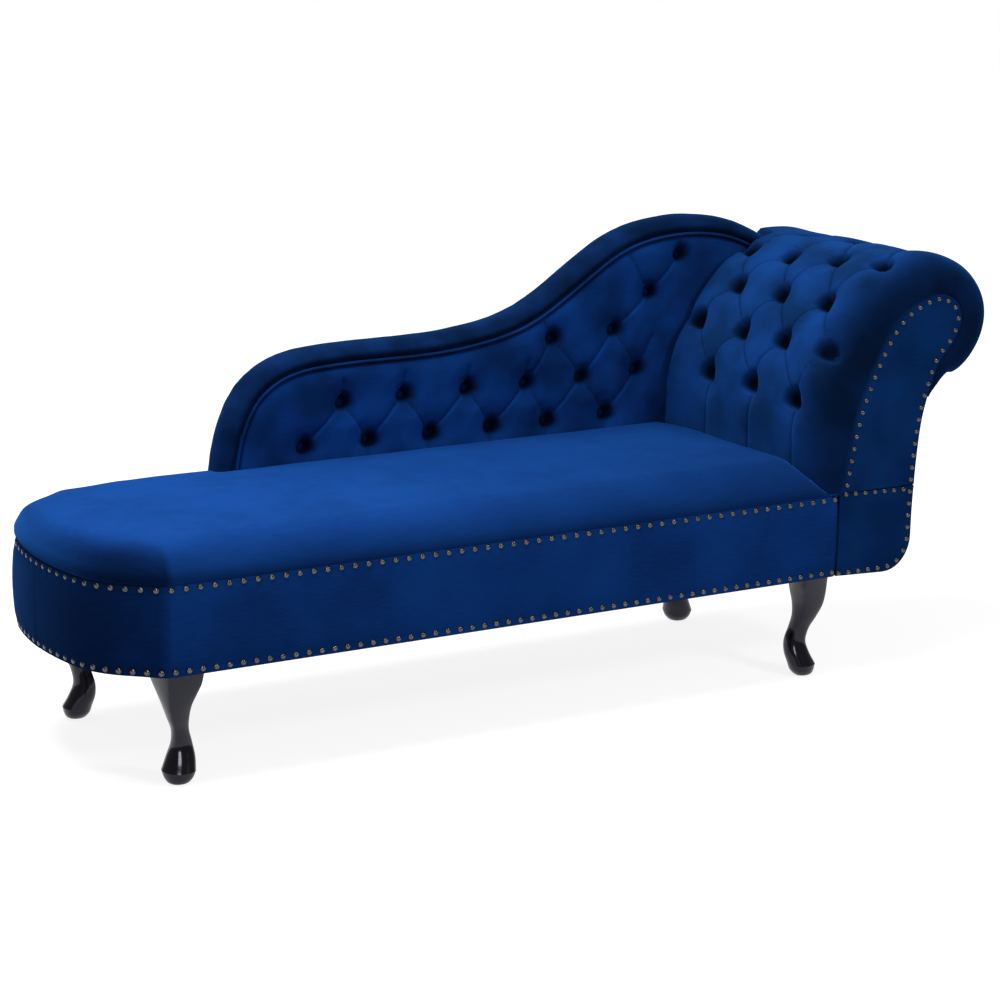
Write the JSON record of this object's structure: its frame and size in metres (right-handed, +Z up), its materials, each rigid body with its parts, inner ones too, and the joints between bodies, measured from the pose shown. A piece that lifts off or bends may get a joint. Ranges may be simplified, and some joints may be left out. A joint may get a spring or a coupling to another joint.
{
  "type": "fainting couch",
  "caption": "Upholstered fainting couch with a tufted scroll arm at the head, a serpentine tufted back, a bowed foot and cabriole legs.",
  "frame": {"origin": "on the floor, under the centre of the couch's overall box", "axes": "+X along the length from the foot to the scroll arm, +Y from the sitter's side to the back, +Z up"},
  "size_m": [1.7342, 0.4984, 0.7782],
  "materials": {
    "velvet": "royal blue short-pile velvet over foam",
    "lacquer": "black gloss lacquer on turned hardwood",
    "timber": "planed hardwood, unfinished",
    "steel": "zinc plated",
    "cambric": "black non-woven cambric",
    "nylon": "moulded nylon"
  },
  "bodies": {
    "root": {"base_cover_front": "velvet", "base_cover_foot": "velvet", "base_cover_rear": "velvet", "front_rail": "timber", "foot_corner_front": "timber", "foot_bow_rail": "timber", "foot_corner_rear": "timber", "rear_rail": "timber", "cross_rail_1": "timber", "cross_rail_2": "timber", "head_cross_rail": "timber", "leg_foot_front": "lacquer", "leg_foot_rear": "lacquer", "leg_head_front": "lacquer", "leg_head_rear": "lacquer", "glide_foot_front": "nylon", "glide_foot_rear": "nylon", "glide_head_front": "nylon", "glide_head_rear": "nylon", "leg_bolt_foot_front": "steel", "leg_bolt_foot_rear": "steel", "leg_bolt_head_front": "steel", "leg_bolt_head_rear": "steel", "leg_block_foot_front": "timber", "leg_block_foot_rear": "timber", "leg_block_head_front": "timber", "leg_block_head_rear": "timber", "dust_cover": "cambric", "spring_batten_front": "timber", "spring_batten_rear": "timber", "seat_spring_1": "steel", "seat_spring_2": "steel", "seat_spring_3": "steel", "seat_spring_4": "steel", "seat_spring_5": "steel", "seat_spring_6": "steel", "seat_deck": "cambric", "seat_pad": "velvet", "arm_pad": "velvet", "arm_front_board": "timber", "arm_rear_board": "timber", "arm_sill_rail": "timber", "arm_bolt_front": "steel", "arm_bolt_rear": "steel", "arm_outer_rail": "timber", "arm_seat_rail": "timber", "arm_top_rail": "timber", "arm_tip_rail": "timber", "arm_front_facing": "velvet", "arm_rear_facing": "velvet", "arm_panel": "timber", "arm_outer_cover": "velvet", "back_border": "velvet", "back_welt": "velvet", "back_panel": "timber", "back_outer_cover": "velvet", "back_bracket_foot": "steel", "back_bracket_middle": "steel", "back_bracket_head": "steel", "back_pad": "velvet"}
  },
  "joints": []
}
